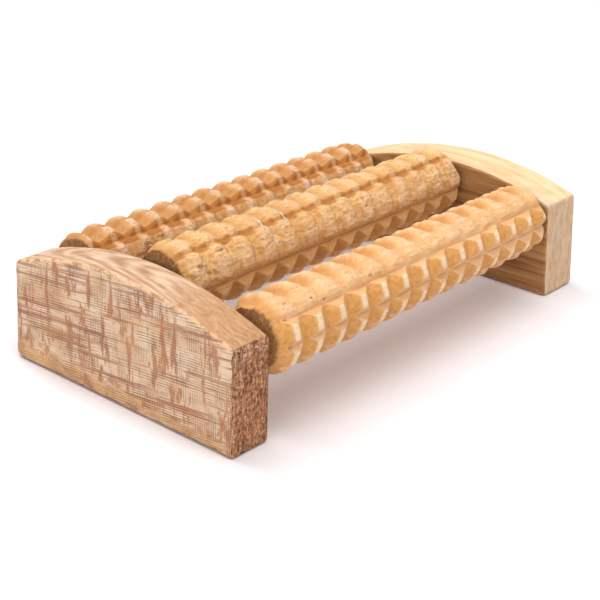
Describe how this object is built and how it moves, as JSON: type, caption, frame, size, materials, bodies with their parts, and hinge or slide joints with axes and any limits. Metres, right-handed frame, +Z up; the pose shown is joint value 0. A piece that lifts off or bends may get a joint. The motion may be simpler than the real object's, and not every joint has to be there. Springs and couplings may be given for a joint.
{
  "type": "foot massage roller",
  "caption": "Foot massager: knobbed wooden rollers that spin freely on steel rods between two arch-topped wooden end boards.",
  "frame": {"origin": "middle of the object's underside, on the surface it stands on", "axes": "+X along the rollers from the left end board to the right one, +Y to the back, +Z up"},
  "size_m": [0.2678, 0.1494, 0.0694],
  "materials": {
    "left_board_wood": "rough sawn, lightly sanded, brown ray fleck on a silvery tan ground",
    "right_board_wood": "sanded pale softwood with grey streaks",
    "roller_wood": "golden tan, machined knobs, bare matte wood",
    "rod_steel": "plain drawn rod"
  },
  "bodies": {
    "frame": {"left_end_board": "left_board_wood", "right_end_board": "right_board_wood", "front_axle_rod": "rod_steel", "middle_axle_rod": "rod_steel", "back_axle_rod": "rod_steel"},
    "front_roller": {"front_roller": "roller_wood"},
    "middle_roller": {"middle_roller": "roller_wood"},
    "back_roller": {"back_roller": "roller_wood"}
  },
  "joints": [
    {"name": "front_roller_spin", "type": "hinge", "parent": "frame", "child": "front_roller", "pos_m": [-0.00265, -0.056, 0.0423], "axis": [1, 0, 0], "continuous": true},
    {"name": "middle_roller_spin", "type": "hinge", "parent": "frame", "child": "middle_roller", "pos_m": [-0.00265, -0.001, 0.0508], "axis": [1, 0, 0], "continuous": true},
    {"name": "back_roller_spin", "type": "hinge", "parent": "frame", "child": "back_roller", "pos_m": [-0.00265, 0.056, 0.041], "axis": [1, 0, 0], "continuous": true}
  ]
}
